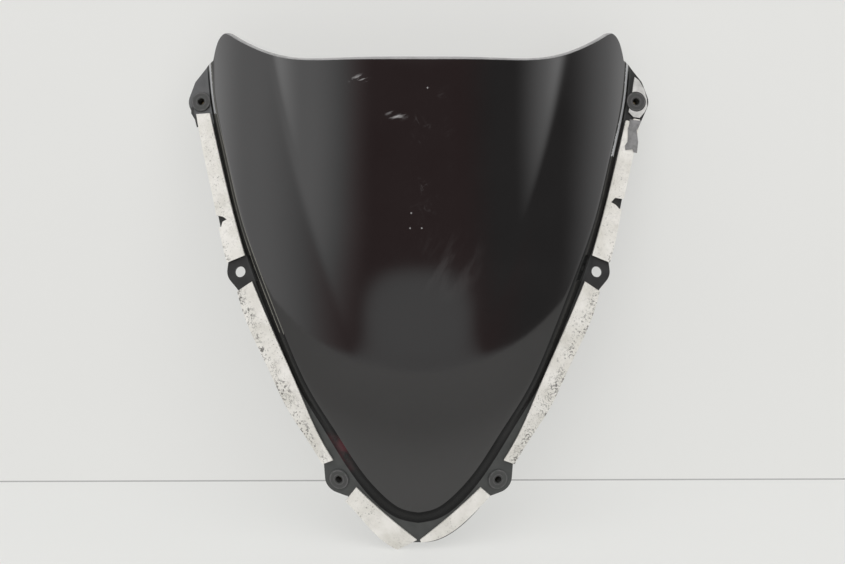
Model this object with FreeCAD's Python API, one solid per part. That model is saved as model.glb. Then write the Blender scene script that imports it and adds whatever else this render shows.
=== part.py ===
import FreeCAD, Part
import bisect
import math
import os

# Sport motorcycle windscreen, millimetres. +Z is up, +Y points back towards the rider, and the
# convex outer face looks towards -Y. The origin is midway between the two lower screw holes.

Vec = FreeCAD.Vector

# Sheet
SHEET_THICKNESS = 3.0
RIM_STEP = 4.5             # the rim is set back this far behind the clear field
RIM_SLOPE = 0.16           # the side rims and their tabs are turned to face almost straight forward
RIM_BEND = 4.0             # width of the bend at the foot of the step
TURN_FROM_Z = 20.0         # below this height the rim follows the curve of the sheet
TURN_FULL_Z = 110.0
BUBBLE_HEIGHT = 24.0       # how far the centre bubble stands proud at the top edge
BUBBLE_FROM_Z = 108.0      # the bubble has died away at this height
BUBBLE_FULL_Z = 398.0
CREASE_SOFTNESS = 0.07
SPINE_MID_Z = 168.0
SPINE_LEAN = 0.13          # slope of the centre line at mid height
SPINE_CURL = 0.00038
PLAN_RADIUS_LOW = 240.0    # radius of the sheet seen from above, at the point
PLAN_RADIUS_HIGH = 300.0
LOW_Z = -42.0
HIGH_Z = 378.0

# Screw holes on the right side: centre (across, up)
UPPER_HOLE = (203.6, 332.0)
MIDDLE_HOLE = (163.5, 181.0)
LOWER_HOLE = (71.5, 0.0)
HOLE_RADIUS = 5.0
TOP_EDGE_ROUND = 2.0       # the top edge is rounded over from the front

# Well nuts
NUT_FLANGE_RADIUS = 9.3
NUT_FLANGE_THICKNESS = 1.8
NUT_FLANGE_CHAMFER = 0.6
NUT_BODY_RADIUS = 4.9
NUT_BODY_LENGTH = 17.0     # from the front face of the sheet to the blind end
NUT_MOUTH_RADIUS = 3.2
INSERT_RADIUS = 3.6
INSERT_LENGTH = 9.0
THREAD_RADIUS = 2.1        # M5 tapping size

# Foam tape on the rim
TAPE_THICKNESS = 2.5
TAB_TAPE_THICKNESS = 1.6
SCRAP_THICKNESS = 0.8
CURL_THICKNESS = 0.7

# The rows and columns that carry the sheet's form fan out from a point above the top edge.
FAN_Z = 478.0
FAN_HALF_ANGLE = 74.0
COLUMNS = 60
FIELD_ROWS = [0.0, 0.04] + [0.04 + 0.045 * n for n in range(1, 20)] + [0.93, 0.96, 0.98, 0.992]
STEP_ROWS = [1.0 + n / 6.0 for n in range(7)]
RIM_ROWS = [2.04, 2.09, 2.16, 2.26, 2.4, 2.6, 2.8, 3.0]

# Right-hand lines that run from the centre, below, round and up past the top edge: (across, up)
FIELD_EDGE = [(0, -26), (14, -23), (31, -11), (50, 10), (74, 46), (96, 79), (118, 124),
              (143, 183), (160, 226), (178, 291), (188, 330), (193, 372), (196, 430), (198, 480)]
STEP_FOOT = [(0, -38), (18, -34), (38, -20), (62, 9), (87, 48), (107, 79), (128, 124),
             (152, 181), (168, 226), (184, 287), (194, 328), (199, 372), (203, 430), (206, 480)]
SHEET_LIMIT = [(0, -92), (45, -78), (80, -45), (110, -5), (140, 50), (165, 100), (190, 160),
               (210, 215), (226, 270), (238, 320), (246, 372), (250, 430), (252, 480)]

# Right-hand half of the trimmed outline
TOP_EDGE = [(0, 375.6), (60, 374.8), (100, 373.7), (127, 376.7), (150, 384.2), (168, 392.6), (176.3, 395.6),
            (183.6, 391.4), (187.6, 384), (191.2, 370)]
TAB_SHOULDER = (197.5, 365.5)
TAB_CORNER = (210.2, 350)
SIDE_UPPER = [(207, 318), (197, 280), (187.5, 240), (181.5, 215), (174.5, 191)]
SIDE_LOWER = [(165.3, 165), (151.7, 128), (135.2, 96), (118.7, 62), (102, 38), (84, 12)]
SIDE_POINT = [(64, -16), (48, -34), (30, -49), (12, -56.5), (0, -57)]

# Screw tabs: hole, radius of the round end, and where the flanks meet the rim above and below
LUGS = [
    (UPPER_HOLE, 12.5, TAB_CORNER, (203, 303)),
    (MIDDLE_HOLE, 12.2, (174.5, 191), (165.3, 165)),
    (LOWER_HOLE, 13.4, (85.8, 14), (64.5, -15.8)),
]

# Tape edges
TAPE_INNER_UPPER = [(195, 322), (184, 281), (168, 225), (159, 196)]
TAPE_OUTER_UPPER = [(208, 321), (199, 281), (188.2, 238), (182.2, 212), (175.5, 189)]
TAPE_INNER_LOWER = [(152, 173), (129, 124), (107, 77), (96, 52), (77, 18)]
TAPE_OUTER_LOWER = [(165.6, 164), (152.6, 129), (136.2, 97), (119.7, 63), (103, 38), (87, 13)]
TAPE_INNER_POINT = [(56, -6), (32, -28), (1.5, -54)]
TAPE_OUTER_POINT_RIGHT = [(65, -15), (49, -31), (25, -50), (2.5, -56)]
TAPE_OUTER_POINT_LEFT = [(66, -20), (47, -41), (33, -55), (19, -63.5)]

# Ragged places where the tape has come away and the rim shows: (across, up)
TEARS = [
    [(-192, 230.5), (-186, 230.5), (-180, 229.5), (-176.5, 227), (-180.5, 225), (-182, 219.5),
     (-185.5, 219.5), (-186, 224), (-192, 226)],
    [(200, 252), (193, 248), (189.4, 244.8), (181.6, 246.3), (177.7, 242.5), (182.4, 239.6),
     (185.8, 235.9), (190.1, 235.9), (200, 237)],
    [(188, 326), (216, 326), (216, 315.5), (207, 316), (202, 317), (198, 314.5), (194.5, 315.5), (188, 313)],
]

# Outlines of the odd pieces of tape and film
TAB_TAPE = [(203, 355), (207, 352), (211.8, 344), (214.3, 335), (214.6, 327.5), (211.5, 322.5), (207, 317.5),
            (201, 318.5), (196.5, 323), (200.5, 341), (201.5, 348)]
SCRAP = [(197, 316.5), (208, 315), (205.3, 309), (203.4, 306.7), (204.5, 296.3), (203, 286), (200, 286.7),
         (199, 289.6), (192.2, 289), (191.7, 292.7), (194.4, 296.3), (195.2, 308), (196.8, 312.6)]
CURL = [(-213.5, 327), (-213.2, 321.5), (-209.5, 316), (-207.4, 309), (-205.6, 309.3), (-207.3, 317),
        (-211, 322), (-211.6, 327)]


def soft_step(t):
    """0 below 0, 1 above 1, and smooth between."""
    t = min(max(t, 0.0), 1.0)
    return t * t * (3.0 - 2.0 * t)


def crease_across(z):
    """Half the width of the centre bubble at this height."""
    down = 375.0 - z
    return max(131.0 - 0.19 * down - 0.0004 * down * down, 4.0)


def bubble(x, z):
    """How far the centre bubble stands forward of the flanks."""
    height = BUBBLE_HEIGHT * soft_step((z - BUBBLE_FROM_Z) / (BUBBLE_FULL_Z - BUBBLE_FROM_Z))
    inside = 1.0 - (abs(x) / crease_across(z)) ** 2.4
    lifted = CREASE_SOFTNESS * math.log(1.0 + math.exp(min(inside / CREASE_SOFTNESS, 40.0)))
    return height * lifted


def curved_sheet(x, z):
    """Depth of the plain curved sheet, measured from its centre line at mid height."""
    up = z - SPINE_MID_Z
    spine = SPINE_LEAN * up + SPINE_CURL * up * up
    share = min(max((z - LOW_Z) / (HIGH_Z - LOW_Z), 0.0), 1.15)
    radius = PLAN_RADIUS_LOW + (PLAN_RADIUS_HIGH - PLAN_RADIUS_LOW) * share
    return spine + radius - math.sqrt(radius * radius - x * x)


def flank(x, z):
    """Depth of the sheet before the bubble and the rim step. The rim at the lower holes is at depth 0."""
    return curved_sheet(x, z) - curved_sheet(*LOWER_HOLE) - RIM_STEP


def smooth_line(points):
    """An open smooth curve through (across, up) points, in the plane y = 0."""
    curve = Part.BSplineCurve()
    curve.interpolate([Vec(x, 0, z) for x, z in points])
    return curve


def follow(points, place, wanted):
    """A function that looks up wanted(x, z) on a smooth line at the given value of place(x, z)."""
    curve = smooth_line(points)
    first, last = curve.FirstParameter, curve.LastParameter
    spots = [curve.value(first + (last - first) * n / 400) for n in range(401)]
    pairs = sorted((place(p.x, p.z), wanted(p.x, p.z)) for p in spots)
    places = [a for a, _ in pairs]

    def at(value):
        i = min(max(bisect.bisect_right(places, value), 1), 400)
        (a0, b0), (a1, b1) = pairs[i - 1], pairs[i]
        share = min(max((value - a0) / (a1 - a0), 0.0), 1.0)
        return b0 + (b1 - b0) * share

    return at


def fan_angle(x, z):
    return math.degrees(math.atan2(x, FAN_Z - z))


def fan_distance(x, z):
    return math.hypot(x, FAN_Z - z)


FIELD_REACH = follow(FIELD_EDGE, fan_angle, fan_distance)
STEP_REACH = follow(STEP_FOOT, fan_angle, fan_distance)
LIMIT_REACH = follow(SHEET_LIMIT, fan_angle, fan_distance)
FOOT_ACROSS = follow(STEP_FOOT, lambda x, z: z, lambda x, z: x)


def eased(distance):
    """0 up to 0, then a bend, then a straight rise of 1 in 1."""
    if distance <= 0:
        return 0.0
    if distance < RIM_BEND:
        return distance * distance / (2.0 * RIM_BEND)
    return distance - RIM_BEND / 2.0


def base_depth(x, z):
    """Depth of the flank, with the side rims turned forward outside the foot of the step."""
    turned = eased(abs(x) - FOOT_ACROSS(z)) * soft_step((z - TURN_FROM_Z) / (TURN_FULL_Z - TURN_FROM_Z))
    return flank(abs(x) - turned, z) + RIM_SLOPE * turned


def front_point(angle, row):
    """Front face of the sheet. Row 0 is above the top edge, 1 the field edge, 2 the step foot, 3 the end."""
    inner = 76.0 / math.cos(math.radians(angle * 0.7))
    fan = abs(angle)
    stops = [inner, FIELD_REACH(fan), STEP_REACH(fan), LIMIT_REACH(fan)]
    band = min(int(row), 2)
    reach = stops[band] + (stops[band + 1] - stops[band]) * (row - band)
    x = reach * math.sin(math.radians(angle))
    z = FAN_Z - reach * math.cos(math.radians(angle))
    return Vec(x, base_depth(x, z) - bubble(x, z) + RIM_STEP * soft_step(row - 1.0), z)


def sheet_point(angle, row, behind):
    """A point at a distance behind the front face, square to it."""
    here = front_point(angle, row)
    if behind == 0:
        return here
    across = front_point(angle + 0.3, row) - front_point(angle - 0.3, row)
    outward = front_point(angle, row + 0.01) - front_point(angle, max(row - 0.01, 0.0))
    normal = outward.cross(across).normalize()
    if normal.y < 0:
        normal = normal * -1
    return here + normal * behind


def sheet_surface(behind):
    """A smooth surface parallel to the front face."""
    rows = FIELD_ROWS + STEP_ROWS + RIM_ROWS
    angles = [FAN_HALF_ANGLE * (2.0 * n / COLUMNS - 1.0) for n in range(COLUMNS + 1)]
    poles = [[sheet_point(angle, row, behind) for row in rows] for angle in angles]
    surface = Part.BSplineSurface()
    u_inner = len(poles) - 3
    v_inner = len(rows) - 3
    surface.buildFromPolesMultsKnots(
        poles,
        [4] + [1] * (u_inner - 1) + [4],
        [4] + [1] * (v_inner - 1) + [4],
        [float(n) for n in range(u_inner + 1)],
        [float(n) for n in range(v_inner + 1)],
        False,
        False,
        3,
        3,
    )
    return surface


SURFACES = {}


def surface_at(behind):
    if behind not in SURFACES:
        SURFACES[behind] = sheet_surface(behind)
    return SURFACES[behind]


def layer(front, back):
    """A solid layer of sheet between two distances behind the front face, before trimming."""
    near = surface_at(front)
    far = surface_at(back)
    faces = [near.toShape(), far.toShape()]
    u0, u1, v0, v1 = near.bounds()
    for fixed in (u0, u1):
        faces.append(Part.makeRuledSurface(near.uIso(fixed).toShape(), far.uIso(fixed).toShape()))
    for fixed in (v0, v1):
        faces.append(Part.makeRuledSurface(near.vIso(fixed).toShape(), far.vIso(fixed).toShape()))
    shell = Part.makeShell(faces)
    shell.sewShape()
    solid = Part.makeSolid(Part.Shell(shell.Faces))
    if solid.Volume < 0:
        solid.reverse()
    return solid


def line(a, b):
    return Part.makeLine(Vec(a[0], 0, a[1]), Vec(b[0], 0, b[1]))


def spline_edge(points):
    return smooth_line(points).toShape()


def split_spline(points, count):
    """A smooth line through the points, as several edges end to end."""
    curve = smooth_line(points)
    first, last = curve.FirstParameter, curve.LastParameter
    cuts = [first + (last - first) * n / count for n in range(count + 1)]
    return [curve.toShape(a, b) for a, b in zip(cuts, cuts[1:])]


def flat_face(edges):
    return Part.Face(Part.Wire(Part.__sortEdges__(edges)))


def mirrored(points):
    return [(-x, z) for x, z in points]


def through(face):
    """A prism that passes right through the sheet along Y."""
    tall = face.copy()
    tall.translate(Vec(0, -120, 0))
    return tall.extrude(Vec(0, 480, 0))


def lug(hole, radius, above, below, side):
    """A round screw tab with straight flanks that run back to two points on the rim."""
    cx, cz = hole
    disc = through(flat_face([Part.Circle(Vec(side * cx, 0, cz), Vec(0, 1, 0), radius).toShape()]))
    corners = []
    for (px, pz), turn in ((above, 1.0), (below, -1.0)):
        dx, dz = px - cx, pz - cz
        away = math.hypot(dx, dz)
        towards = math.atan2(dz, dx)
        swing = math.acos(min(radius / away, 1.0))
        touch = towards - turn * swing
        corners.append((cx + radius * math.cos(touch), cz + radius * math.sin(touch)))
    loop = [above, corners[0], (cx, cz), corners[1], below, (cx - radius, cz)]
    loop = [(side * x, z) for x, z in loop]
    edges = [line(a, b) for a, b in zip(loop, loop[1:] + loop[:1])]
    return disc.fuse(through(flat_face(edges)))


def outline_prism():
    """The trimmed outline, seen square on from the front, as a prism through the sheet."""
    edges = split_spline(mirrored(TOP_EDGE[:0:-1]) + TOP_EDGE, 8)
    for side in (1, -1):
        def sided(points):
            return [(side * x, z) for x, z in points]
        edges.append(line(*sided([TOP_EDGE[-1], TAB_SHOULDER])))
        edges.append(line(*sided([TAB_SHOULDER, TAB_CORNER])))
        edges.append(line(*sided([TAB_CORNER, SIDE_UPPER[0]])))
        edges.append(spline_edge(sided(SIDE_UPPER)))
        edges.append(line(*sided([SIDE_UPPER[-1], SIDE_LOWER[0]])))
        edges.append(spline_edge(sided(SIDE_LOWER)))
        edges.append(line(*sided([SIDE_LOWER[-1], SIDE_POINT[0]])))
    point = SIDE_POINT + mirrored(SIDE_POINT[:-1])[::-1]
    edges.append(spline_edge(point))
    main = through(flat_face(edges))
    tabs = []
    for side in (1, -1):
        for hole, radius, above, below in LUGS:
            tabs.append(lug(hole, radius, above, below, side))
    return main.fuse(tabs).removeSplitter()


def rim_normal(x, z):
    """Direction from the front face of the rim towards the back, square to it."""
    d = 0.5
    slope_x = (base_depth(x + d, z) - base_depth(x - d, z)) / (2 * d)
    slope_z = (base_depth(x, z + d) - base_depth(x, z - d)) / (2 * d)
    return Vec(-slope_x, 1.0, -slope_z).normalize()


def hole_frame(hole, side):
    """The point on the front face at a screw hole, and the direction towards the back."""
    x, z = side * hole[0], hole[1]
    line_through = Part.makeLine(Vec(x, -100, z), Vec(x, 300, z))
    hit = surface_at(0.0).toShape().section(line_through)
    if hit.Vertexes:
        start = hit.Vertexes[0].Point
    else:
        start = Vec(x, base_depth(x, z) + RIM_STEP, z)
    return start, rim_normal(x, z)


def rod(start, direction, radius, first, last):
    """A cylinder between two distances along a direction."""
    return Part.makeCylinder(radius, last - first, start + direction * first, direction)


def round_top(sheet):
    """Round the front of the top edge from ear to ear."""
    front = surface_at(0.0)
    chain = []
    for edge in sheet.Edges:
        ends = [edge.valueAt(edge.FirstParameter), edge.valueAt(edge.LastParameter)]
        middle = edge.valueAt((edge.FirstParameter + edge.LastParameter) / 2)
        if min(p.z for p in ends) < TOP_EDGE[-1][1] - 0.5 or edge.Length < 40:
            continue
        u, v = front.parameter(middle)
        if front.value(u, v).distanceToPoint(middle) < 0.05:
            chain.append(edge)
    return sheet.makeFillet(TOP_EDGE_ROUND, chain)


def screen():
    sheet = round_top(layer(0.0, SHEET_THICKNESS).common(outline_prism()))
    for hole in (UPPER_HOLE, MIDDLE_HOLE, LOWER_HOLE):
        for side in (1, -1):
            start, back = hole_frame(hole, side)
            sheet = sheet.cut(rod(start, back, HOLE_RADIUS, -8, 12))
    return sheet.Solids[0] if len(sheet.Solids) == 1 else sheet


def well_nut(hole, side, sheet):
    """Rubber body with a front flange, hollowed for the brass insert at its far end."""
    start, back = hole_frame(hole, side)
    chamfered = NUT_FLANGE_THICKNESS - NUT_FLANGE_CHAMFER
    flange = rod(start, back, NUT_FLANGE_RADIUS, -chamfered, 0.6)
    front = Part.makeCone(
        NUT_FLANGE_RADIUS - NUT_FLANGE_CHAMFER,
        NUT_FLANGE_RADIUS,
        NUT_FLANGE_CHAMFER,
        start - back * NUT_FLANGE_THICKNESS,
        back,
    )
    flange = flange.fuse(front)
    body = rod(start, back, NUT_BODY_RADIUS, 0, NUT_BODY_LENGTH)
    nut = flange.fuse(body).removeSplitter()
    nut = nut.cut(rod(start, back, NUT_MOUTH_RADIUS, -5, NUT_BODY_LENGTH + 5))
    nut = nut.cut(rod(start, back, INSERT_RADIUS, NUT_BODY_LENGTH - INSERT_LENGTH, NUT_BODY_LENGTH + 5))
    nut = nut.cut(sheet)
    return max(nut.Solids, key=lambda s: s.Volume)


def insert(hole, side):
    start, back = hole_frame(hole, side)
    first = NUT_BODY_LENGTH - INSERT_LENGTH
    brass = rod(start, back, INSERT_RADIUS, first, NUT_BODY_LENGTH)
    return brass.cut(rod(start, back, THREAD_RADIUS, first - 1, NUT_BODY_LENGTH + 1))


def strip(inner, outer, side, front, back):
    """A piece of tape between two lines on the front face."""
    inner = [(side * x, z) for x, z in inner]
    outer = [(side * x, z) for x, z in outer]
    edges = [
        spline_edge(inner),
        spline_edge(outer),
        line(inner[0], outer[0]),
        line(inner[-1], outer[-1]),
    ]
    tape = layer(front, back).common(through(flat_face(edges)))
    for tear in TEARS:
        tape = tape.cut(through(polygon(tear)))
    return max(tape.Solids, key=lambda s: s.Volume)


def polygon(corners):
    return flat_face([line(a, b) for a, b in zip(corners, corners[1:] + corners[:1])])


def patch(corners, front, back):
    """A piece of tape with a straight-sided outline."""
    return layer(front, back).common(through(polygon(corners)))


def tab_tape():
    """Tape left on the face of the upper right tab, with a hole for the well nut's flange."""
    tape = patch(TAB_TAPE, -TAB_TAPE_THICKNESS, 0.0)
    start, back = hole_frame(UPPER_HOLE, 1)
    tape = tape.cut(rod(start, back, NUT_FLANGE_RADIUS + 0.3, -12, 12))
    return max(tape.Solids, key=lambda s: s.Volume)


def torn_scrap():
    """Grey scrap that lies over the top of the upper right tape strip."""
    scrap = patch(SCRAP, -TAPE_THICKNESS - SCRAP_THICKNESS, -TAPE_THICKNESS)
    return scrap.Solids[0]


def film_curl():
    """Dark tail of film that hangs from the foot of the upper left tab."""
    curl = patch(CURL, -CURL_THICKNESS, 0.0)
    return curl.Solids[0]


def save(shape, node):
    shape.exportStep("parts/" + node + ".step")
    print(node, len(shape.Solids), round(shape.Volume, 1), shape.isValid())


os.makedirs("parts", exist_ok=True)

SHEET = screen()
save(SHEET, "screen")
NUTS = [
    ("upper_left", UPPER_HOLE, -1),
    ("upper_right", UPPER_HOLE, 1),
    ("lower_left", LOWER_HOLE, -1),
    ("lower_right", LOWER_HOLE, 1),
]
for place, hole, side in NUTS:
    save(well_nut(hole, side, SHEET), "well_nut_" + place)
    save(insert(hole, side), "brass_insert_" + place)

for name, side in (("left", -1), ("right", 1)):
    point_outer = TAPE_OUTER_POINT_LEFT if side < 0 else TAPE_OUTER_POINT_RIGHT
    save(strip(TAPE_INNER_UPPER, TAPE_OUTER_UPPER, side, -TAPE_THICKNESS, 0.0), "tape_upper_" + name)
    save(strip(TAPE_INNER_LOWER, TAPE_OUTER_LOWER, side, -TAPE_THICKNESS, 0.0), "tape_lower_" + name)
    save(strip(TAPE_INNER_POINT, point_outer, side, -TAPE_THICKNESS, 0.0), "tape_point_" + name)

save(tab_tape(), "tape_on_tab_upper_right")
save(torn_scrap(), "torn_tape_scrap")
save(film_curl(), "film_curl")
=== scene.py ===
import bisect
import math
import bmesh
import bpy
from mathutils import Matrix, Vector


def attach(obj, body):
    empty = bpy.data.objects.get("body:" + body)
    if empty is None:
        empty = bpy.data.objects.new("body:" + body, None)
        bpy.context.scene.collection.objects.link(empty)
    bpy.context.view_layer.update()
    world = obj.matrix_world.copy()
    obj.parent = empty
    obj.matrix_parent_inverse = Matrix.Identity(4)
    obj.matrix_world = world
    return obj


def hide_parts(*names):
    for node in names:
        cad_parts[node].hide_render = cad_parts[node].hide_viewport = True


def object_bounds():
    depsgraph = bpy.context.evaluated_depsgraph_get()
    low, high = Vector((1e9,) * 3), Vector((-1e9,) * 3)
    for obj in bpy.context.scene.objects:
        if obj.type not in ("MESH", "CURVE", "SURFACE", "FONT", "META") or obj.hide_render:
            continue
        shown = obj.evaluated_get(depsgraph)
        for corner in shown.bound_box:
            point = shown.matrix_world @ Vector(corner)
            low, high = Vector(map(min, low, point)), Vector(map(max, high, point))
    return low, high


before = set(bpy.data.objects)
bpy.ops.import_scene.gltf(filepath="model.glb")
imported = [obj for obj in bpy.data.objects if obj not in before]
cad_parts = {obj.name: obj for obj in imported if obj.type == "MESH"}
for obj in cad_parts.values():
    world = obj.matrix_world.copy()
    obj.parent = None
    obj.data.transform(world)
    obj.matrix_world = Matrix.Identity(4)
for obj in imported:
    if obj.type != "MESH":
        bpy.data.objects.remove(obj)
packed_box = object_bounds()

MM = 0.001

# The screen's form, in millimetres, as in the CAD source
SHEET_THICKNESS = 3.0
RIM_STEP = 4.5
RIM_SLOPE = 0.16
RIM_BEND = 4.0
TURN_FROM_Z = 20.0
TURN_FULL_Z = 110.0
BUBBLE_HEIGHT = 24.0
BUBBLE_FROM_Z = 108.0
BUBBLE_FULL_Z = 398.0
SPINE_MID_Z = 168.0
SPINE_LEAN = 0.13
SPINE_CURL = 0.00038
PLAN_RADIUS_LOW = 240.0
PLAN_RADIUS_HIGH = 300.0
LOW_Z = -42.0
HIGH_Z = 378.0
FAN_Z = 478.0
TOP_EDGE_ROUND = 2.0
CUT_EDGE_ROUND = 0.4

# The creases beside the bubble are drawn tighter than in the CAD source, which has 0.07 here. The
# difference in depth is under a millimetre, and only along the creases.
CREASE_SOFTNESS = 0.035

UPPER_HOLE = (203.6, 332.0)
MIDDLE_HOLE = (163.5, 181.0)
LOWER_HOLE = (71.5, 0.0)
HOLE_RADIUS = 5.0

# Right-hand lines, from the centre outwards: (across, up)
FIELD_EDGE = [(0, -26), (14, -23), (31, -11), (50, 10), (74, 46), (96, 79), (118, 124),
              (143, 183), (160, 226), (178, 291), (188, 330), (193, 372), (196, 430), (198, 480)]
STEP_FOOT = [(0, -38), (18, -34), (38, -20), (62, 9), (87, 48), (107, 79), (128, 124),
             (152, 181), (168, 226), (184, 287), (194, 328), (199, 372), (203, 430), (206, 480)]
TOP_EDGE = [(0, 375.6), (60, 374.8), (100, 373.7), (127, 376.7), (150, 384.2), (168, 392.6), (176.3, 395.6),
            (183.6, 391.4), (187.6, 384), (191.2, 370)]
TAB_SHOULDER = (197.5, 365.5)
TAB_CORNER = (210.2, 350)
SIDE_UPPER = [(207, 318), (197, 280), (187.5, 240), (181.5, 215), (174.5, 191)]
SIDE_LOWER = [(165.3, 165), (151.7, 128), (135.2, 96), (118.7, 62), (102, 38), (84, 12)]
SIDE_POINT = [(64, -16), (48, -34), (30, -49), (12, -56.5), (0, -57)]
LUGS = [
    (UPPER_HOLE, 12.5, TAB_CORNER, (203, 303)),
    (MIDDLE_HOLE, 12.2, (174.5, 191), (165.3, 165)),
    (LOWER_HOLE, 13.4, (85.8, 14), (64.5, -15.8)),
]

# Finishes on the sheet: how far the light top edge, a painted highlight, reaches, and where the step shows
# light strips of painted reflection
FINISHES = ["field", "edge", "step", "glint", "line", "rim", "pale"]
TOP_EDGE_BAND = 1.2
GLINT_LOW_LEFT = 322.0
GLINT_LOW_RIGHT = 284.0
LINES_LOW = 130.0
PAINTED_LIGHT_TAB_LOW = 312.0
LINE_SHARES = [(0.0, 0.1), (0.4, 0.5)]

COLUMNS = 720
FIELD_ROWS = 54
STEP_ROWS = 10
RIM_ROWS = 10


def soft_step(t):
    t = min(max(t, 0.0), 1.0)
    return t * t * (3.0 - 2.0 * t)


def crease_across(z):
    down = 375.0 - z
    return max(131.0 - 0.19 * down - 0.0004 * down * down, 4.0)


def bubble(x, z):
    height = BUBBLE_HEIGHT * soft_step((z - BUBBLE_FROM_Z) / (BUBBLE_FULL_Z - BUBBLE_FROM_Z))
    inside = 1.0 - (abs(x) / crease_across(z)) ** 2.4
    lifted = CREASE_SOFTNESS * math.log(1.0 + math.exp(min(inside / CREASE_SOFTNESS, 40.0)))
    return height * lifted


def curved_sheet(x, z):
    up = z - SPINE_MID_Z
    spine = SPINE_LEAN * up + SPINE_CURL * up * up
    share = min(max((z - LOW_Z) / (HIGH_Z - LOW_Z), 0.0), 1.15)
    radius = PLAN_RADIUS_LOW + (PLAN_RADIUS_HIGH - PLAN_RADIUS_LOW) * share
    return spine + radius - math.sqrt(radius * radius - x * x)


RIM_DEPTH = curved_sheet(*LOWER_HOLE) + RIM_STEP


def flank(x, z):
    return curved_sheet(x, z) - RIM_DEPTH


def smooth_line(points, per_span=14):
    """Points along a natural cubic curve through the given ones, spaced by chord length."""
    knots = [0.0]
    for (x0, z0), (x1, z1) in zip(points, points[1:]):
        knots.append(knots[-1] + math.hypot(x1 - x0, z1 - z0))
    n = len(points)
    gaps = [knots[i + 1] - knots[i] for i in range(n - 1)]

    def bends(values):
        lower, diag, rhs = [0.0] * n, [1.0] * n, [0.0] * n
        upper = [0.0] * n
        for i in range(1, n - 1):
            lower[i] = gaps[i - 1]
            diag[i] = 2.0 * (gaps[i - 1] + gaps[i])
            upper[i] = gaps[i]
            rise = (values[i + 1] - values[i]) / gaps[i]
            rhs[i] = 6.0 * (rise - (values[i] - values[i - 1]) / gaps[i - 1])
        for i in range(1, n):
            share = lower[i] / diag[i - 1]
            diag[i] -= share * upper[i - 1]
            rhs[i] -= share * rhs[i - 1]
        out = [0.0] * n
        out[-1] = rhs[-1] / diag[-1]
        for i in range(n - 2, -1, -1):
            out[i] = (rhs[i] - upper[i] * out[i + 1]) / diag[i]
        return out

    columns = [[p[axis] for p in points] for axis in (0, 1)]
    second = [bends(values) for values in columns]
    out = []
    for i in range(n - 1):
        for k in range(per_span + (i == n - 2)):
            b = k / per_span
            a = 1.0 - b
            square = gaps[i] * gaps[i] / 6.0
            point = []
            for values, bend in zip(columns, second):
                curve = ((a ** 3 - a) * bend[i] + (b ** 3 - b) * bend[i + 1]) * square
                point.append(a * values[i] + b * values[i + 1] + curve)
            out.append(tuple(point))
    return out


def straight(a, b, count=40):
    return [(a[0] + (b[0] - a[0]) * n / count, a[1] + (b[1] - a[1]) * n / count) for n in range(count)]


def looked_up(pairs, outside=None):
    """A function that interpolates in (place, value) pairs, or gives the outside value off their ends."""
    pairs = sorted(pairs)
    places = [a for a, _ in pairs]

    def at(place):
        if outside is not None and not places[0] <= place <= places[-1]:
            return outside
        i = min(max(bisect.bisect_right(places, place), 1), len(pairs) - 1)
        (a0, b0), (a1, b1) = pairs[i - 1], pairs[i]
        share = (place - a0) / (a1 - a0) if a1 > a0 else 0.0
        return b0 + (b1 - b0) * min(max(share, 0.0), 1.0)

    return at


def fan_reach(points, outside=None):
    """Distance from the fan point to a line at an angle."""
    pairs = [(math.degrees(math.atan2(x, FAN_Z - z)), math.hypot(x, FAN_Z - z)) for x, z in points]
    return looked_up(pairs, outside)


def lug_line(hole, radius, above, below):
    """The outer side of a screw tab: a straight flank, an arc and a straight flank."""
    cx, cz = hole
    touches = []
    for (px, pz), turn in ((above, 1.0), (below, -1.0)):
        towards = math.atan2(pz - cz, px - cx)
        swing = math.acos(min(radius / math.hypot(px - cx, pz - cz), 1.0))
        touches.append(towards - turn * swing)
    start, end = touches
    if start < end:
        start += 2.0 * math.pi
    arc = [start + (end - start) * k / 40 for k in range(41)]
    arc = [(cx + radius * math.cos(t), cz + radius * math.sin(t)) for t in arc]
    return straight(above, arc[0]) + arc + straight(below, arc[-1])[::-1]


FIELD_REACH = fan_reach(smooth_line(FIELD_EDGE))
STEP_REACH = fan_reach(smooth_line(STEP_FOOT))
FOOT_ACROSS = looked_up([(z, x) for x, z in smooth_line(STEP_FOOT)])
TOP_LINE = [p for p in smooth_line([(-x, z) for x, z in TOP_EDGE[:0:-1]] + TOP_EDGE) if p[0] > -0.001]
EAR_ANGLE = max(math.degrees(math.atan2(x, FAN_Z - z)) for x, z in TOP_LINE)
EAR_AT = max(range(len(TOP_LINE)), key=lambda i: math.atan2(TOP_LINE[i][0], FAN_Z - TOP_LINE[i][1]))
TOP_REACH = fan_reach(TOP_LINE[:EAR_AT + 1])
SIDE_LINE = TOP_LINE[EAR_AT:] + straight(TAB_SHOULDER, TAB_CORNER) + straight(TAB_CORNER, SIDE_UPPER[0])
SIDE_LINE += smooth_line(SIDE_UPPER)
SIDE_LINE += straight(SIDE_UPPER[-1], SIDE_LOWER[0]) + smooth_line(SIDE_LOWER)
SIDE_LINE += straight(SIDE_LOWER[-1], SIDE_POINT[0]) + smooth_line(SIDE_POINT)
SIDE_REACH = fan_reach(SIDE_LINE)
LUG_REACHES = [fan_reach(lug_line(*lug), outside=0.0) for lug in LUGS]


def outer_reach(angle):
    return max([SIDE_REACH(angle)] + [reach(angle) for reach in LUG_REACHES])


def eased(distance):
    """0 up to 0, then a bend, then a straight rise of 1 in 1."""
    if distance <= 0:
        return 0.0
    if distance < RIM_BEND:
        return distance * distance / (2.0 * RIM_BEND)
    return distance - RIM_BEND / 2.0


def base_depth(x, z):
    """Depth of the flank, with the side rims turned forward outside the foot of the step."""
    turned = eased(abs(x) - FOOT_ACROSS(z)) * soft_step((z - TURN_FROM_Z) / (TURN_FULL_Z - TURN_FROM_Z))
    return flank(abs(x) - turned, z) + RIM_SLOPE * turned


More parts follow.
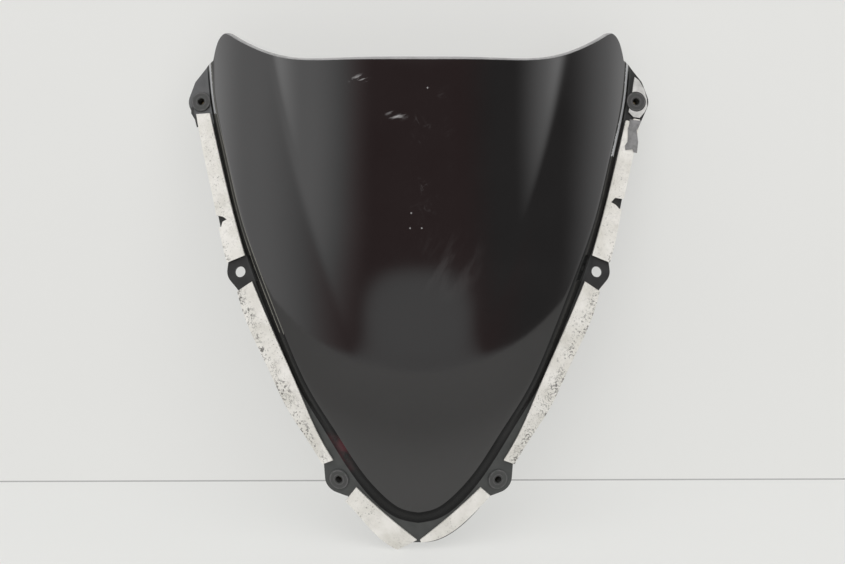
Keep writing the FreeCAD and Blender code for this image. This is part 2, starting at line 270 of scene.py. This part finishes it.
def front_point(angle, reach):
    """A point on the front face, from its signed angle at the fan point and its distance from there."""
    field = FIELD_REACH(abs(angle))
    foot = STEP_REACH(abs(angle))
    x = reach * math.sin(math.radians(angle))
    z = FAN_Z - reach * math.cos(math.radians(angle))
    step = RIM_STEP * soft_step((reach - field) / (foot - field))
    return Vector((x, base_depth(x, z) - bubble(x, z) + step, z))


def sheet_point(angle, reach, behind):
    """A point behind the front face, square to it, in metres."""
    across = front_point(angle + 0.15, reach) - front_point(angle - 0.15, reach)
    outward = front_point(angle, reach + 0.4) - front_point(angle, reach - 0.4)
    normal = outward.cross(across).normalized()
    if normal.y < 0:
        normal.negate()
    return (front_point(angle, reach) + normal * behind) * MM


def spaced(first, last, count):
    return [first + (last - first) * n / count for n in range(count)]


def section(angle):
    """The closed section of the sheet along one ray: (reach, depth behind the front face, is it rim)."""
    top = TOP_REACH(abs(angle))
    outer = outer_reach(abs(angle))
    width = outer - top
    thick = min(SHEET_THICKNESS, width)
    soft = min(TOP_EDGE_ROUND, width * 0.3)
    hard = min(CUT_EDGE_ROUND, width * 0.1)
    low, high = top + soft + 0.02, outer - hard - 0.02
    field = min(max(FIELD_REACH(abs(angle)), low + 0.01), high - 0.02)
    foot = min(max(STEP_REACH(abs(angle)), field + 0.01), high - 0.01)
    lip = min(low + TOP_EDGE_BAND, (low + field) / 2)
    stops = [low, (low + lip) / 2] + spaced(lip, field, FIELD_ROWS)
    stops += spaced(field, foot, STEP_ROWS) + spaced(foot, high, RIM_ROWS)
    stops.append(high)
    stops.insert(1, low + (stops[1] - low) * 0.08)
    stops.insert(-1, high - (high - stops[-2]) * 0.15)
    quarter = [math.radians(18 * n) for n in range(6)]
    loop = [(reach, 0.0) for reach in stops]
    loop += [(outer - hard + hard * math.sin(t), hard - hard * math.cos(t)) for t in quarter]
    loop += [(outer - hard + hard * math.cos(t), thick - hard + hard * math.sin(t)) for t in quarter]
    loop += [(reach, thick) for reach in reversed(stops)]
    loop += [(top + hard - hard * math.sin(t), thick - hard + hard * math.cos(t)) for t in quarter]
    loop += [(top + soft - soft * math.cos(t), soft - soft * math.sin(t)) for t in quarter]
    return loop


def column_angles():
    """Angles that space the columns evenly along the outline, so that the tabs come out round."""
    fine = [EAR_ANGLE * 0.9997 * (2.0 * n / 9000 - 1.0) for n in range(9001)]
    spots = []
    for a in fine:
        r = outer_reach(abs(a))
        spots.append((r * math.sin(math.radians(a)), r * math.cos(math.radians(a))))
    run = [0.0]
    for (x0, z0), (x1, z1) in zip(spots, spots[1:]):
        run.append(run[-1] + math.hypot(x1 - x0, z1 - z0) + 0.02)
    out = []
    for n in range(COLUMNS + 1):
        target = run[-1] * n / COLUMNS
        i = min(max(bisect.bisect_left(run, target), 1), len(run) - 1)
        share = (target - run[i - 1]) / (run[i] - run[i - 1])
        out.append(fine[i - 1] + (fine[i] - fine[i - 1]) * share)
    return out


def hole_line(hole, side):
    """The centre of a screw hole on the front face of the rim, and the direction towards the back."""
    x, z = side * hole[0], hole[1]
    d = 0.5
    slope_x = (base_depth(x + d, z) - base_depth(x - d, z)) / (2 * d)
    slope_z = (base_depth(x, z + d) - base_depth(x, z - d)) / (2 * d)
    centre = Vector((x, base_depth(x, z) + RIM_STEP, z)) * MM
    return centre, Vector((-slope_x, 1.0, -slope_z)).normalized()


def new_object(name, mesh):
    piece = bpy.data.objects.new(name, mesh)
    bpy.context.scene.collection.objects.link(piece)
    return piece


def drill(piece):
    """Cut the six screw holes, and bake the result into the mesh."""
    rods = bmesh.new()
    for hole in (UPPER_HOLE, MIDDLE_HOLE, LOWER_HOLE):
        for side in (1, -1):
            centre, back = hole_line(hole, side)
            turn = back.to_track_quat("Z", "Y").to_matrix().to_4x4()
            made = bmesh.ops.create_cone(
                rods,
                cap_ends=True,
                segments=48,
                radius1=HOLE_RADIUS * MM,
                radius2=HOLE_RADIUS * MM,
                depth=16 * MM,
            )
            bmesh.ops.transform(rods, matrix=turn, verts=made["verts"])
            bmesh.ops.translate(rods, vec=centre, verts=made["verts"])
    mesh = bpy.data.meshes.new("rods")
    rods.to_mesh(mesh)
    rods.free()
    cutter = new_object("rods", mesh)
    cut = piece.modifiers.new("holes", "BOOLEAN")
    cut.object = cutter
    cut.operation = "DIFFERENCE"
    cut.solver = "EXACT"
    bpy.context.view_layer.update()
    solved = bpy.data.meshes.new_from_object(piece.evaluated_get(bpy.context.evaluated_depsgraph_get()))
    piece.modifiers.clear()
    piece.data = solved
    bpy.data.objects.remove(cutter)


def region(centre, normal):
    """Which finish a face of the sheet has, from where its centre lies. The light strips of painted
    reflection, the lines and the painted light on the upper left tab are on the front.
    """
    x, z = centre.x / MM, centre.z / MM
    angle = abs(math.degrees(math.atan2(x, FAN_Z - z)))
    reach = math.hypot(x, FAN_Z - z)
    if reach < TOP_REACH(angle) + TOP_EDGE_ROUND + TOP_EDGE_BAND - 0.5:
        return "edge"
    field, foot = FIELD_REACH(angle), STEP_REACH(angle)
    if reach < field:
        return "field"
    if normal.y > 0:
        return "rim" if reach > foot else "step"
    if reach > foot:
        # The upper left tab is painted lighter: painted light falling from above and the left.
        return "pale" if x < 0 and z > PAINTED_LIGHT_TAB_LOW else "rim"
    share = (reach - field) / (foot - field)
    # Glint: light strips on the upper step, a painted reflection of the bright wall.
    if z > (GLINT_LOW_RIGHT if x > 0 else GLINT_LOW_LEFT) and 0.15 < share < 0.6:
        return "glint"
    if x < 0 and z > LINES_LOW and any(low < share < high for low, high in LINE_SHARES):
        return "line"
    return "step"


def build_screen():
    loops = []
    for angle in column_angles():
        loops.append([sheet_point(angle, reach, behind) for reach, behind in section(angle)])
    around = len(loops[0])
    verts = [p for loop in loops for p in loop]
    faces = []
    for c in range(len(loops) - 1):
        for k in range(around):
            a = c * around + k
            b = c * around + (k + 1) % around
            faces.append((a, a + around, b + around, b))
    faces.append(tuple(range(around)))
    faces.append(tuple(range(len(verts) - 1, len(verts) - around - 1, -1)))
    mesh = bpy.data.meshes.new("smoked_screen")
    mesh.from_pydata([tuple(v) for v in verts], [], faces)
    work = bmesh.new()
    work.from_mesh(mesh)
    bmesh.ops.remove_doubles(work, verts=work.verts, dist=0.01 * MM)
    bmesh.ops.recalc_face_normals(work, faces=work.faces)
    work.to_mesh(mesh)
    work.free()
    piece = new_object("smoked_screen", mesh)
    drill(piece)
    work = bmesh.new()
    work.from_mesh(piece.data)
    for face in work.faces:
        face.smooth = True
    for edge in work.edges:
        edge.smooth = len(edge.link_faces) == 2 and edge.calc_face_angle() < math.radians(40)
    work.to_mesh(piece.data)
    work.free()
    return piece


# Materials


class Nodes:
    """A small helper for building the nodes of one material or world."""

    def __init__(self, owner, shader):
        owner.use_nodes = True
        self.tree = owner.node_tree
        self.shader = self.tree.nodes[shader]

    def add(self, kind, **values):
        node = self.tree.nodes.new(kind)
        for key, value in values.items():
            setattr(node, key, value)
        return node

    def link(self, source, target):
        self.tree.links.new(source, target)

    def fill(self, socket, value):
        if isinstance(value, bpy.types.NodeSocket):
            self.link(value, socket)
        else:
            socket.default_value = value

    def place(self, scale=(1, 1, 1), kind="Object"):
        coords = self.add("ShaderNodeTexCoord")
        mapping = self.add("ShaderNodeMapping")
        mapping.inputs["Scale"].default_value = scale
        self.link(coords.outputs[kind], mapping.inputs["Vector"])
        return mapping.outputs["Vector"]

    def grain(self, tilt, stretch):
        """Coordinates stretched along a direction in the XZ plane, tilted from the vertical."""
        coords = self.add("ShaderNodeTexCoord")
        mapping = self.add("ShaderNodeMapping", vector_type="TEXTURE")
        mapping.inputs["Rotation"].default_value = (0.0, tilt, 0.0)
        mapping.inputs["Scale"].default_value = (1.0, 1.0, stretch)
        self.link(coords.outputs["Object"], mapping.inputs["Vector"])
        return mapping.outputs["Vector"]

    def split(self, vector):
        """The three parts of a vector."""
        node = self.add("ShaderNodeSeparateXYZ")
        self.link(vector, node.inputs[0])
        return node.outputs

    def beside(self, x, z, squeeze=1.0):
        """Distance, as seen from the front, from a spot at (x, z) in metres, squeezed across."""
        node = self.add("ShaderNodeVectorMath", operation="DISTANCE")
        self.link(self.place((squeeze, 0.0, 1.0)), node.inputs[0])
        node.inputs[1].default_value = (x * squeeze, 0.0, z)
        return node.outputs["Value"]

    def noise(self, scale, detail=4.0, roughness=0.55, at=None, distortion=0.0):
        node = self.add("ShaderNodeTexNoise")
        node.inputs["Scale"].default_value = scale
        node.inputs["Detail"].default_value = detail
        node.inputs["Roughness"].default_value = roughness
        node.inputs["Distortion"].default_value = distortion
        self.link(at or self.place(), node.inputs["Vector"])
        return node.outputs["Fac"]

    def distance(self, point):
        """Distance from a point given in metres, as (x, y, z)."""
        node = self.add("ShaderNodeVectorMath", operation="DISTANCE")
        self.link(self.place(), node.inputs[0])
        node.inputs[1].default_value = point
        return node.outputs["Value"]

    def fade(self, value, start, end):
        """Goes smoothly from 0 where the value is start to 1 where it is end."""
        node = self.add("ShaderNodeMapRange", interpolation_type="SMOOTHSTEP")
        self.link(value, node.inputs["Value"])
        for name, limit in zip(("From Min", "From Max", "To Min", "To Max"), (start, end, 0.0, 1.0)):
            node.inputs[name].default_value = limit
        return node.outputs["Result"]

    def ramp(self, value, *stops):
        node = self.add("ShaderNodeValToRGB")
        marks = node.color_ramp.elements
        while len(marks) < len(stops):
            marks.new(0.5)
        for mark, (position, colour) in zip(marks, stops):
            mark.position = position
            mark.color = (*colour, 1.0)
        self.link(value, node.inputs["Fac"])
        return node.outputs["Color"]

    def mix(self, share, first, second):
        node = self.add("ShaderNodeMix", data_type="RGBA")
        self.fill(node.inputs[0], share)
        for socket, value in ((node.inputs[6], first), (node.inputs[7], second)):
            self.fill(socket, (*value, 1.0) if isinstance(value, tuple) else value)
        return node.outputs[2]

    def math(self, operation, a, b=0.0, c=0.0):
        node = self.add("ShaderNodeMath", operation=operation)
        for socket, value in zip(node.inputs, (a, b, c)):
            self.fill(socket, value)
        return node.outputs["Value"]

    def bump(self, height, strength, distance):
        node = self.add("ShaderNodeBump")
        node.inputs["Strength"].default_value = strength
        node.inputs["Distance"].default_value = distance
        self.link(height, node.inputs["Height"])
        self.link(node.outputs["Normal"], self.shader.inputs["Normal"])

    def feed(self, **sources):
        """Set or link shader inputs by name, with _ for a space."""
        for key, value in sources.items():
            self.fill(self.shader.inputs[key.replace("_", " ")], value)


def new_material(name):
    material = bpy.data.materials.new(name)
    return material, Nodes(material, "Principled BSDF")


def grey(v):
    return (v, v, v)


def strokes(m, scale, tilt, wide, thin):
    """Short fine scratches that mostly run one way."""
    along = m.noise(scale, detail=2.0, at=m.grain(tilt, 6.0), distortion=0.4)
    line = m.math("ABSOLUTE", m.math("SUBTRACT", along, 0.5))
    return m.math("MULTIPLY", m.fade(line, wide, thin), m.fade(m.noise(scale * 0.6), 0.48, 0.60))


def scuffs(m):
    """Faint hatching down the bubble, a smear below it, two pale dabs near the top and a few specks."""
    column = m.fade(m.math("ABSOLUTE", m.math("SUBTRACT", m.split(m.place())[0], HATCH_X)), 0.022, 0.002)
    patchy = m.fade(m.noise(22.0, detail=1.0), 0.42, 0.60)
    near = m.fade(m.beside(HATCH_X, HATCH_Z), 0.085, 0.03)
    reach = m.math("MULTIPLY", m.math("MULTIPLY", column, patchy), near)
    hatch = m.math("MAXIMUM", strokes(m, 210.0, 1.1, 0.02, 0.004), strokes(m, 170.0, -0.5, 0.02, 0.004))
    marks = m.math("MULTIPLY", m.math("MULTIPLY", hatch, reach), 0.22)
    smear = m.math("MULTIPLY", m.fade(m.noise(70.0, at=m.grain(0.5, 5.0)), 0.48, 0.70), 0.07)
    marks = m.math("MAXIMUM", marks, m.math("MULTIPLY", smear, m.fade(m.beside(*SMEAR), 0.040, 0.010)))
    for dab in (DAB_HIGH, DAB_LOW):
        brushed = m.fade(m.noise(300.0, detail=2.0, at=m.grain(1.3, 5.0)), 0.52, 0.66)
        inside = m.fade(m.beside(*dab, squeeze=0.55), 0.0065, 0.0015)
        marks = m.math("MAXIMUM", marks, m.math("MULTIPLY", m.math("MULTIPLY", brushed, inside), 0.8))
    for speck in SPECKS:
        marks = m.math("MAXIMUM", marks, m.math("MULTIPLY", m.fade(m.beside(*speck), 0.0010, 0.0004), 0.8))
    return marks


def smoked_acrylic():
    material, m = new_material("smoked_acrylic")
    haze = m.noise(14.0, detail=5.0)
    clean = m.ramp(haze, (0.3, (0.0045, 0.0036, 0.0036)), (0.75, (0.0075, 0.0065, 0.0065)))
    worn = scuffs(m)
    m.feed(Base_Color=m.mix(worn, clean, grey(0.34)))
    m.feed(Roughness=m.math("MULTIPLY_ADD", haze, 0.05, m.math("MULTIPLY_ADD", worn, 0.3, 0.03)))
    m.feed(Specular_IOR_Level=0.95)
    return material


def finish(name, light, dark, scale, roughness, bump=0.15):
    """A mottled surface between two colours."""
    material, m = new_material(name)
    m.feed(Base_Color=m.ramp(m.noise(scale), (0.35, light), (0.7, dark)))
    m.bump(m.noise(scale * 3.0), bump, 0.0003)
    m.feed(Roughness=roughness)
    return material


def step_black():
    """The black band on the step, with a reddish glow low on the left."""
    material, m = new_material("step_black")
    black = m.ramp(m.noise(40.0), (0.35, grey(0.006)), (0.7, grey(0.010)))
    glow = m.math("MULTIPLY", m.fade(m.beside(*RED_SPOT), 0.024, 0.006), m.fade(m.noise(60.0), 0.35, 0.6))
    m.feed(Base_Color=m.mix(glow, black, (0.060, 0.016, 0.020)))
    m.feed(Roughness=0.15, Specular_IOR_Level=0.16)
    return material


def rim_grey():
    """The dull back-painted rim, lighter low down and darker from the middle tabs upwards: painted light and
    shade by height.
    """
    material, m = new_material("rim_grey")
    low = m.ramp(m.noise(120.0), (0.35, (0.040, 0.043, 0.042)), (0.7, (0.056, 0.059, 0.057)))
    high = m.ramp(m.noise(120.0), (0.35, (0.016, 0.017, 0.017)), (0.7, (0.026, 0.027, 0.027)))
    # Painted light and shade: the rim is lighter low down and darker from the middle tabs up.
    m.feed(Base_Color=m.mix(m.fade(m.split(m.place())[2], 0.05, 0.14), low, high))
    m.bump(m.noise(360.0), 0.1, 0.0003)
    m.feed(Roughness=0.45)
    return material


def foam_tape():
    """Pale worn foam, with grime and cracks that are worst on the outer side of the lower strips."""
    material, m = new_material("foam_tape")
    clean = m.ramp(m.noise(55.0, detail=6.0), (0.35, (0.78, 0.77, 0.73)), (0.68, (0.62, 0.61, 0.56)))
    dots = m.fade(m.noise(520.0, detail=2.0), 0.60, 0.70)
    specks = m.math("MULTIPLY", dots, m.fade(m.noise(45.0), 0.44, 0.60))
    crack = m.math("ABSOLUTE", m.math("SUBTRACT", m.noise(150.0, detail=4.0, distortion=1.6), 0.5))
    cracks = m.math("MULTIPLY", m.fade(crack, 0.026, 0.006), m.fade(m.noise(36.0), 0.46, 0.56))
    grains = m.fade(m.noise(420.0, detail=2.0), 0.54, 0.62)
    grit = m.math("MULTIPLY", grains, m.fade(m.noise(50.0), 0.44, 0.54))
    across, _, up = m.split(m.place())
    tape_line = m.math("MULTIPLY_ADD", up, TAPE_LINE_SLOPE, TAPE_LINE_FOOT)
    outward = m.math("SUBTRACT", m.math("ABSOLUTE", across), tape_line)
    outer = m.fade(outward, -0.010, -0.001)
    worn = m.math("MULTIPLY", m.math("MAXIMUM", cracks, grit), m.math("MULTIPLY_ADD", outer, 0.75, 0.12))
    dirt = m.math("MAXIMUM", m.math("MULTIPLY", specks, 0.6), worn)
    m.feed(Base_Color=m.mix(dirt, clean, (0.10, 0.098, 0.09)))
    m.bump(m.noise(700.0), 0.25, 0.0004)
    m.feed(Roughness=0.85)
    return material


def nut_rubber(name, centre):
    """Dull rubber with moulded rings round the centre of its flange."""
    material, m = new_material(name)
    away = m.distance(centre)
    # Near black towards the centre: painted shade in the hole of the nut.
    rings = m.ramp(
        m.math("MULTIPLY", away, 100.0),
        (0.0, grey(0.010)),
        (0.46, grey(0.045)),
        (0.50, grey(0.11)),
        (0.55, grey(0.045)),
        (0.80, grey(0.055)),
        (0.84, grey(0.13)),
        (0.90, grey(0.060)),
    )
    m.feed(Base_Color=m.mix(m.fade(m.noise(240.0), 0.4, 0.7), rings, (0.050, 0.054, 0.051)))
    m.bump(m.noise(700.0), 0.15, 0.0002)
    m.feed(Roughness=0.6)
    return material


def brass():
    material, m = new_material("insert_brass")
    # Much darker than bare brass: painted shade inside the nuts.
    m.feed(Base_Color=m.ramp(m.noise(300.0), (0.3, (0.34, 0.28, 0.17)), (0.7, (0.22, 0.17, 0.09))))
    m.feed(Metallic=1.0, Roughness=0.35)
    return material


# Marks on the clear field, as (across, up) in metres
HATCH_X, HATCH_Z = 0.012, 0.285
SMEAR = (0.024, 0.200)
DAB_HIGH = (-0.050, 0.355)
DAB_LOW = (-0.018, 0.327)
SPECKS = [(0.008, 0.349), (-0.006, 0.243), (-0.007, 0.230), (0.003, 0.230)]
RED_SPOT = (-0.069, 0.027)

# The outer line of the lower tapes: how far across it is at the origin's height, and its slope
TAPE_LINE_FOOT = 0.080
TAPE_LINE_SLOPE = 0.52

SHEET_FINISHES = {
    "field": smoked_acrylic(),
    # The light top edge is a painted highlight along the rounded cut edge.
    "edge": finish("cut_edge_highlight", grey(0.34), grey(0.24), 60.0, 0.35),
    "step": step_black(),
    # Painted reflection: the light strips on the step.
    "glint": finish("step_glint", (0.46, 0.47, 0.48), (0.36, 0.37, 0.38), 50.0, 0.3),
    "line": finish("step_line", (0.16, 0.155, 0.13), (0.10, 0.10, 0.09), 60.0, 0.25),
    "rim": rim_grey(),
    # Painted light on the upper left tab.
    "pale": finish("rim_painted_light", (0.105, 0.108, 0.110), (0.080, 0.083, 0.085), 90.0, 0.45, bump=0.1),
}
TAPE = foam_tape()
TAB_TAPE = finish("tab_tape", (0.62, 0.62, 0.60), (0.38, 0.38, 0.37), 110.0, 0.85)
GREY_TAPE = finish("grey_tape", grey(0.24), grey(0.13), 180.0, 0.75)
FILM = finish("dark_film", grey(0.045), grey(0.025), 200.0, 0.6)
BRASS = brass()


def paint(name, material):
    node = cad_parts[name]
    node.data.materials.clear()
    node.data.materials.append(material)


SCREEN = build_screen()
for part in FINISHES:
    SCREEN.data.materials.append(SHEET_FINISHES[part])
for face in SCREEN.data.polygons:
    face.material_index = FINISHES.index(region(face.center, face.normal))
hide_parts("screen")
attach(SCREEN, "root")

for row, hole in (("upper", UPPER_HOLE), ("lower", LOWER_HOLE)):
    for side, way in (("left", -1), ("right", 1)):
        corner = row + "_" + side
        paint("well_nut_" + corner, nut_rubber("nut_rubber_" + corner, hole_line(hole, way)[0]))
        paint("brass_insert_" + corner, BRASS)
for row in ("upper", "lower", "point"):
    for side in ("left", "right"):
        paint("tape_" + row + "_" + side, TAPE)
paint("tape_on_tab_upper_right", TAB_TAPE)
paint("torn_tape_scrap", GREY_TAPE)
paint("film_curl", FILM)


# Floor, wall, light and camera

FLOOR_Z = packed_box[0].z
WALL_Y = 0.160
WALL_SLOPE = 0.008
SEAM_HEIGHT = 0.0014


def stage_plane(name, corners, colour, glow, far_glow):
    """A pale backdrop sheet with some glow of its own, so that it stays even. Its back is clear."""
    mesh = bpy.data.meshes.new(name)
    mesh.from_pydata(corners, [], [(0, 1, 2, 3)])
    plane = new_object(name, mesh)
    material, m = new_material(name)
    m.feed(Base_Color=m.ramp(m.noise(3.0), (0.3, colour), (0.7, tuple(c * 0.97 for c in colour))))
    near = m.fade(m.split(m.place())[1], -0.55, -0.12)
    m.feed(Roughness=0.8, Emission_Color=(0.995, 1.0, 0.975, 1.0))
    m.feed(Emission_Strength=m.math("MULTIPLY_ADD", near, glow - far_glow, far_glow))
    one_sided = m.add("ShaderNodeMixShader")
    m.link(m.add("ShaderNodeNewGeometry").outputs["Backfacing"], one_sided.inputs[0])
    m.link(m.shader.outputs["BSDF"], one_sided.inputs[1])
    m.link(m.add("ShaderNodeBsdfTransparent").outputs["BSDF"], one_sided.inputs[2])
    m.link(one_sided.outputs["Shader"], m.tree.nodes["Material Output"].inputs["Surface"])
    mesh.materials.append(material)


def standing_plane(name, forward, high, colour, glow):
    """A sheet along the wall, a little forward of it, and turned as the wall is."""
    left, right = WALL_Y - 3 * WALL_SLOPE - forward, WALL_Y + 3 * WALL_SLOPE - forward
    corners = [(-3, left, FLOOR_Z), (3, right, FLOOR_Z), (3, right, high), (-3, left, high)]
    stage_plane(name, corners, colour, glow, glow)


floor_corners = [(-3, -1.4, FLOOR_Z), (3, -1.4, FLOOR_Z), (3, 3, FLOOR_Z), (-3, 3, FLOOR_Z)]
stage_plane("floor", floor_corners, (0.25, 0.25, 0.245), 0.48, 0.24)
standing_plane("wall", 0.0, 3.0, (0.32, 0.322, 0.314), 0.45)
# A darker strip at the foot of the wall: painted shade in the seam with the floor.
standing_plane("wall_foot_shadow", 0.001, FLOOR_Z + SEAM_HEIGHT, (0.20, 0.20, 0.20), 0.22)

# The room in front: dim, with soft glows to the sides. Each glow has a strength, and the
# directions where it begins and where it is full, in degrees to the right of straight ahead. The floor
# begins at a height given for a direction one unit long.
ROOM_DIM = 0.15
SIDE_GLOWS = [(0.8, -25.0, -70.0), (1.0, -75.0, -100.0), (0.9, 60.0, 90.0), (0.8, 80.0, 100.0)]
BROWN_TINT = (1.3, 0.86, 0.86)
FLOOR_GLOW = 0.58
FLOOR_EDGE = -0.09
FLOOR_EDGE_SOFTNESS = 0.02
OVERHEAD = 1.2


def light_world():
    """A dim brownish room with a broad glow on the left and a narrow one on the right, over a pale floor."""
    world = bpy.data.worlds.new("studio")
    bpy.context.scene.world = world
    m = Nodes(world, "Background")
    across, back, up = m.split(m.place(kind="Generated"))
    turn = m.math("ARCTAN2", across, m.math("MULTIPLY", back, -1.0))
    room = ROOM_DIM
    for strength, begins, full in SIDE_GLOWS:
        glow = m.fade(turn, math.radians(begins), math.radians(full))
        room = m.math("MULTIPLY_ADD", glow, strength, room)
    tinted = m.add("ShaderNodeMix", data_type="RGBA", blend_type="MULTIPLY")
    m.link(m.fade(m.math("ABSOLUTE", turn), 0.9, 0.4), tinted.inputs[0])
    m.link(room, tinted.inputs[6])
    tinted.inputs[7].default_value = (*BROWN_TINT, 1.0)
    above = m.mix(m.fade(up, 0.40, 0.75), tinted.outputs[2], grey(OVERHEAD))
    below = m.fade(up, FLOOR_EDGE, FLOOR_EDGE - FLOOR_EDGE_SOFTNESS)
    m.feed(Color=m.mix(below, above, grey(FLOOR_GLOW)), Strength=1.0)


def soft_light(name, place, size, power, aim=(0.0, 0.0, 0.15)):
    """A large soft lamp that lights the set without showing in the gloss."""
    lamp = bpy.data.lights.new(name, "AREA")
    lamp.shape = "DISK"
    lamp.size = size
    lamp.energy = power
    holder = bpy.data.objects.new(name, lamp)
    bpy.context.scene.collection.objects.link(holder)
    holder.location = place
    holder.rotation_euler = (Vector(aim) - Vector(place)).to_track_quat("-Z", "Y").to_euler()
    holder.visible_glossy = False


light_world()
soft_light("key", (-0.5, -2.3, 1.3), 1.6, 18.0)
soft_light("overhead", (0.0, -0.6, 1.8), 1.6, 6.0, aim=(0.0, 0.1, 0.2))
soft_light("right_fill", (1.3, -1.8, 1.0), 1.4, 7.0, aim=(0.2, 0.1, 0.2))

camera = bpy.data.objects.new("camera", bpy.data.cameras.new("camera"))
bpy.context.scene.collection.objects.link(camera)
camera.data.lens = 50.0
camera.data.sensor_width = 36.0
camera.location = (0.0037, -1.004, 0.388)
pitch = Matrix.Rotation(math.radians(90.0 - 11.60), 3, "X")
camera.rotation_euler = pitch.to_euler()
bpy.context.scene.camera = camera
bpy.context.scene.view_settings.view_transform = "Standard"
